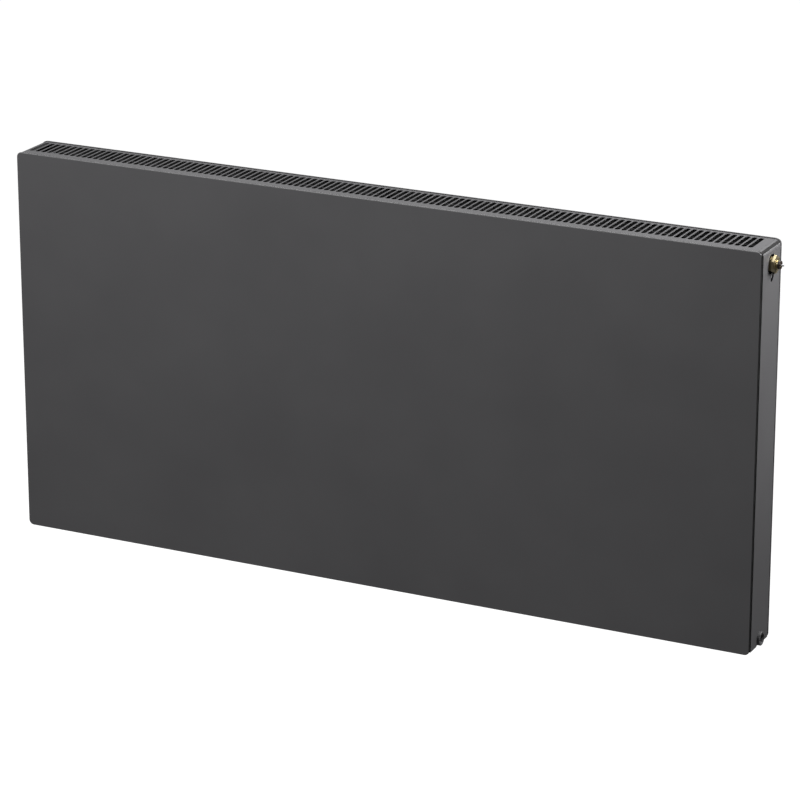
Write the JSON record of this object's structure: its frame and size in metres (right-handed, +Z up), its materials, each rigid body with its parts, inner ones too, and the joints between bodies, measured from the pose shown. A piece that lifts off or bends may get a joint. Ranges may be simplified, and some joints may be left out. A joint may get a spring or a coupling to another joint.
{
  "type": "panel radiator",
  "caption": "Flat-front steel panel radiator with side covers, slotted top grille, built-in thermostatic valve insert and bottom connections, for hanging on a wall.",
  "frame": {"origin": "midway between the seats of the two upper hanging lugs, on the plane of the radiator's back edge", "axes": "+X to the right seen from the front, along the long side; +Y towards the wall; +Z up; the decorative front looks along -Y"},
  "size_m": [1.227, 0.087, 0.6],
  "materials": {
    "anthracite_paint": "satin",
    "brass": "machined",
    "nickel_plate": "satin",
    "stainless_steel": "turned",
    "spring_steel": "zinc plated",
    "dark_plastic": "moulded",
    "white_plastic": "moulded",
    "seal_rubber": "matte",
    "adhesive": "matte"
  },
  "bodies": {
    "radiator": {"front_plate": "anthracite_paint", "bonding_strips": "adhesive", "front_panel_front_sheet": "anthracite_paint", "front_panel_back_sheet": "anthracite_paint", "rear_panel_front_sheet": "anthracite_paint", "rear_panel_back_sheet": "anthracite_paint", "convector": "anthracite_paint", "connector_top_left": "anthracite_paint", "connector_bottom_left": "anthracite_paint", "connector_bottom_right": "anthracite_paint", "valve_housing": "anthracite_paint", "connection_block": "anthracite_paint", "riser_pipe": "anthracite_paint", "valve_body": "brass", "valve_guide": "brass", "valve_gland": "brass", "valve_seal": "seal_rubber", "valve_spring": "stainless_steel", "vent_plug": "nickel_plate", "vent_seal": "seal_rubber", "blanking_plugs": "anthracite_paint", "plug_seals": "seal_rubber", "hanging_lugs": "anthracite_paint"},
    "valve_stem": {"valve_pin": "stainless_steel", "valve_disc": "seal_rubber"},
    "preset_ring": {"valve_preset_ring": "dark_plastic"},
    "vent_needle": {"vent_needle": "brass"},
    "vent_screw": {"vent_screw": "nickel_plate"},
    "vent_spout": {"vent_spout_ring": "white_plastic"},
    "grille": {"top_grille": "anthracite_paint", "grille_clips": "anthracite_paint"},
    "right_cover": {"side_cover_right": "anthracite_paint", "side_cover_clips_right": "spring_steel"},
    "left_cover": {"side_cover_left": "anthracite_paint", "side_cover_clips_left": "spring_steel"}
  },
  "joints": [
    {"name": "valve_press", "type": "slide", "parent": "radiator", "child": "valve_stem", "axis": [-1, 0, 0], "range_m": [0, 0.0025], "stiffness_N_per_m": 6000, "springref_m": -0.003, "deforming": ["valve_spring"]},
    {"name": "preset_turn", "type": "hinge", "parent": "radiator", "child": "preset_ring", "pos_m": [0.6115, -0.037, 0.063], "axis": [1, 0, 0], "range_deg": [0, 300]},
    {"name": "vent_lift", "type": "slide", "parent": "radiator", "child": "vent_needle", "axis": [-1, 0, 0], "range_m": [0, 0.0015]},
    {"name": "vent_turn", "type": "hinge", "parent": "vent_needle", "child": "vent_screw", "pos_m": [-0.6, -0.037, 0.063], "axis": [-1, 0, 0], "range_deg": [0, 540]},
    {"name": "spout_turn", "type": "hinge", "parent": "radiator", "child": "vent_spout", "pos_m": [-0.6052, -0.037, 0.063], "axis": [1, 0, 0], "continuous": true},
    {"name": "grille_lift", "type": "slide", "parent": "radiator", "child": "grille", "axis": [0, 0, 1], "range_m": [0, 0.08]},
    {"name": "right_cover_pull", "type": "slide", "parent": "radiator", "child": "right_cover", "axis": [1, 0, 0], "range_m": [0, 0.06]},
    {"name": "left_cover_pull", "type": "slide", "parent": "radiator", "child": "left_cover", "axis": [-1, 0, 0], "range_m": [0, 0.06]}
  ],
  "couplings": [
    {"joint": "vent_turn", "follows": "vent_lift", "rad_per_m": 6283.2}
  ]
}
